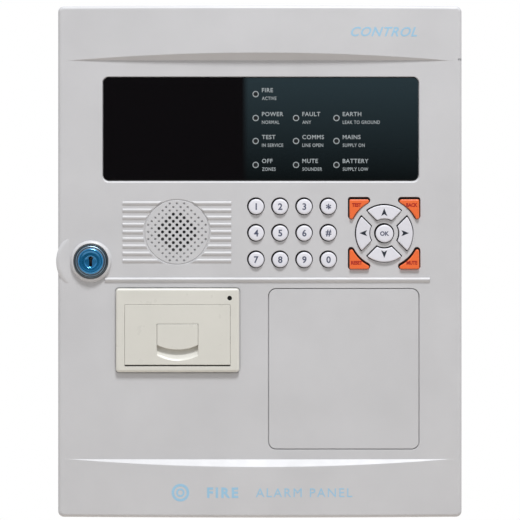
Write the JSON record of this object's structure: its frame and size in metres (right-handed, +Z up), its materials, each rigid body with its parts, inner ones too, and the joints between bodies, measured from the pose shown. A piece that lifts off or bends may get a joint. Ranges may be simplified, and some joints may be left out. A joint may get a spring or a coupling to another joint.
{
  "type": "fire alarm control panel",
  "caption": "Wall-mounted fire alarm control panel: steel back box, moulded door with display window, keypad, speaker, strip printer, cam lock and blanking plate.",
  "frame": {"origin": "centre of the back face, on the wall", "axes": "+X to the right seen from the front, +Y into the wall, +Z up; the front faces -Y"},
  "size_m": [0.3196, 0.1098, 0.4],
  "materials": {
    "enclosure_paint": "fine orange-peel powder coat, light warm grey",
    "cover_plastic": "moulded ABS with a fine spark texture, light warm grey",
    "window_acrylic": "back-printed gloss black acrylic",
    "circuit_board": "green solder mask",
    "plated_steel": "bright zinc plate",
    "dark_metal": "dark nickel and black frame parts",
    "brass": "plain machined brass",
    "terminal_green": "glass-filled nylon",
    "battery_case": "dark grey ABS case",
    "black_plastic": "black nylon",
    "rubber": "black rubber",
    "silicone": "grey silicone rubber",
    "key_plastic": "satin silver-white plastic",
    "orange_key": "satin orange plastic",
    "ivory_plastic": "moulded ivory ABS",
    "lock_blue": "blue gloss face over a metal plug",
    "paper": "thermal paper"
  },
  "bodies": {
    "enclosure": {"back_box": "enclosure_paint", "chassis_plate": "plated_steel", "main_board": "circuit_board", "loop_terminals": "terminal_green", "power_supply": "plated_steel", "battery_left": "battery_case", "battery_right": "battery_case", "battery_bracket": "plated_steel", "earth_stud": "brass", "rocker_housing": "black_plastic", "cable_grommet_left": "rubber", "cable_grommet_right": "rubber", "hinge_upper_leaf": "enclosure_paint", "hinge_lower_leaf": "enclosure_paint", "hinge_upper_pin": "plated_steel", "hinge_lower_pin": "plated_steel"},
    "door": {"door_cover": "cover_plastic", "display_window": "window_acrylic", "lcd_module": "dark_metal", "indicator_board": "circuit_board", "keypad_board": "circuit_board", "key_mat": "silicone", "speaker": "dark_metal", "blanking_plate": "cover_plastic", "hinge_upper_knuckle": "enclosure_paint", "hinge_lower_knuckle": "enclosure_paint", "lock_barrel": "dark_metal", "lock_nut": "plated_steel", "printer_bezel": "ivory_plastic", "printer_mechanism": "dark_metal", "paper_spindle": "dark_metal"},
    "lock": {"lock_plug": "lock_blue", "lock_cam": "plated_steel"},
    "printer_door": {"printer_door": "ivory_plastic"},
    "printer_latch": {"printer_latch": "ivory_plastic"},
    "platen_roller": {"platen_roller": "rubber"},
    "paper_roll": {"paper_roll": "paper"},
    "power_rocker": {"power_rocker": "black_plastic"},
    "key_1": {"key_1": "key_plastic"},
    "key_2": {"key_2": "key_plastic"},
    "key_3": {"key_3": "key_plastic"},
    "key_star": {"key_star": "key_plastic"},
    "key_4": {"key_4": "key_plastic"},
    "key_5": {"key_5": "key_plastic"},
    "key_6": {"key_6": "key_plastic"},
    "key_hash": {"key_hash": "key_plastic"},
    "key_7": {"key_7": "key_plastic"},
    "key_8": {"key_8": "key_plastic"},
    "key_9": {"key_9": "key_plastic"},
    "key_0": {"key_0": "key_plastic"},
    "key_enter": {"key_enter": "key_plastic"},
    "key_up": {"key_up": "key_plastic"},
    "key_right": {"key_right": "key_plastic"},
    "key_down": {"key_down": "key_plastic"},
    "key_left": {"key_left": "key_plastic"},
    "key_upper_right": {"key_upper_right": "orange_key"},
    "key_lower_right": {"key_lower_right": "orange_key"},
    "key_lower_left": {"key_lower_left": "orange_key"},
    "key_upper_left": {"key_upper_left": "orange_key"}
  },
  "joints": [
    {"name": "door_hinge", "type": "hinge", "parent": "enclosure", "child": "door", "pos_m": [0.1574, -0.071, 0], "axis": [0, 0, 1], "range_deg": [0, 115]},
    {"name": "lock_turn", "type": "hinge", "parent": "door", "child": "lock", "pos_m": [-0.132, -0.071, 0.0002], "axis": [0, 1, 0], "range_deg": [0, 90]},
    {"name": "printer_door_hinge", "type": "hinge", "parent": "door", "child": "printer_door", "pos_m": [-0.0643, -0.1058, -0.0797], "axis": [1, 0, 0], "range_deg": [0, 90]},
    {"name": "printer_latch_pull", "type": "hinge", "parent": "printer_door", "child": "printer_latch", "pos_m": [-0.0643, -0.1059, -0.0513], "axis": [-1, 0, 0], "range_deg": [0, 30], "stiffness_Nm_per_rad": 0.02},
    {"name": "platen_spin", "type": "hinge", "parent": "printer_door", "child": "platen_roller", "pos_m": [-0.0643, -0.099, -0.0387], "axis": [1, 0, 0], "continuous": true},
    {"name": "paper_spin", "type": "hinge", "parent": "door", "child": "paper_roll", "pos_m": [-0.0643, -0.079, -0.0626], "axis": [1, 0, 0], "continuous": true},
    {"name": "power_rocker_tilt", "type": "hinge", "parent": "enclosure", "child": "power_rocker", "pos_m": [0.087, -0.0509, 0], "axis": [1, 0, 0], "range_deg": [-16, 0]},
    {"name": "key_1_press", "type": "slide", "parent": "door", "child": "key_1", "axis": [0, 1, 0], "range_m": [0, 0.0012], "stiffness_N_per_m": 400},
    {"name": "key_2_press", "type": "slide", "parent": "door", "child": "key_2", "axis": [0, 1, 0], "range_m": [0, 0.0012], "stiffness_N_per_m": 400},
    {"name": "key_3_press", "type": "slide", "parent": "door", "child": "key_3", "axis": [0, 1, 0], "range_m": [0, 0.0012], "stiffness_N_per_m": 400},
    {"name": "key_star_press", "type": "slide", "parent": "door", "child": "key_star", "axis": [0, 1, 0], "range_m": [0, 0.0012], "stiffness_N_per_m": 400},
    {"name": "key_4_press", "type": "slide", "parent": "door", "child": "key_4", "axis": [0, 1, 0], "range_m": [0, 0.0012], "stiffness_N_per_m": 400},
    {"name": "key_5_press", "type": "slide", "parent": "door", "child": "key_5", "axis": [0, 1, 0], "range_m": [0, 0.0012], "stiffness_N_per_m": 400},
    {"name": "key_6_press", "type": "slide", "parent": "door", "child": "key_6", "axis": [0, 1, 0], "range_m": [0, 0.0012], "stiffness_N_per_m": 400},
    {"name": "key_hash_press", "type": "slide", "parent": "door", "child": "key_hash", "axis": [0, 1, 0], "range_m": [0, 0.0012], "stiffness_N_per_m": 400},
    {"name": "key_7_press", "type": "slide", "parent": "door", "child": "key_7", "axis": [0, 1, 0], "range_m": [0, 0.0012], "stiffness_N_per_m": 400},
    {"name": "key_8_press", "type": "slide", "parent": "door", "child": "key_8", "axis": [0, 1, 0], "range_m": [0, 0.0012], "stiffness_N_per_m": 400},
    {"name": "key_9_press", "type": "slide", "parent": "door", "child": "key_9", "axis": [0, 1, 0], "range_m": [0, 0.0012], "stiffness_N_per_m": 400},
    {"name": "key_0_press", "type": "slide", "parent": "door", "child": "key_0", "axis": [0, 1, 0], "range_m": [0, 0.0012], "stiffness_N_per_m": 400},
    {"name": "key_enter_press", "type": "slide", "parent": "door", "child": "key_enter", "axis": [0, 1, 0], "range_m": [0, 0.0012], "stiffness_N_per_m": 400},
    {"name": "key_up_press", "type": "slide", "parent": "door", "child": "key_up", "axis": [0, 1, 0], "range_m": [0, 0.0012], "stiffness_N_per_m": 400},
    {"name": "key_right_press", "type": "slide", "parent": "door", "child": "key_right", "axis": [0, 1, 0], "range_m": [0, 0.0012], "stiffness_N_per_m": 400},
    {"name": "key_down_press", "type": "slide", "parent": "door", "child": "key_down", "axis": [0, 1, 0], "range_m": [0, 0.0012], "stiffness_N_per_m": 400},
    {"name": "key_left_press", "type": "slide", "parent": "door", "child": "key_left", "axis": [0, 1, 0], "range_m": [0, 0.0012], "stiffness_N_per_m": 400},
    {"name": "key_upper_right_press", "type": "slide", "parent": "door", "child": "key_upper_right", "axis": [0, 1, 0], "range_m": [0, 0.0012], "stiffness_N_per_m": 400},
    {"name": "key_lower_right_press", "type": "slide", "parent": "door", "child": "key_lower_right", "axis": [0, 1, 0], "range_m": [0, 0.0012], "stiffness_N_per_m": 400},
    {"name": "key_lower_left_press", "type": "slide", "parent": "door", "child": "key_lower_left", "axis": [0, 1, 0], "range_m": [0, 0.0012], "stiffness_N_per_m": 400},
    {"name": "key_upper_left_press", "type": "slide", "parent": "door", "child": "key_upper_left", "axis": [0, 1, 0], "range_m": [0, 0.0012], "stiffness_N_per_m": 400}
  ],
  "couplings": [
    {"joint": "paper_spin", "follows": "platen_spin", "ratio": 0.2286}
  ]
}
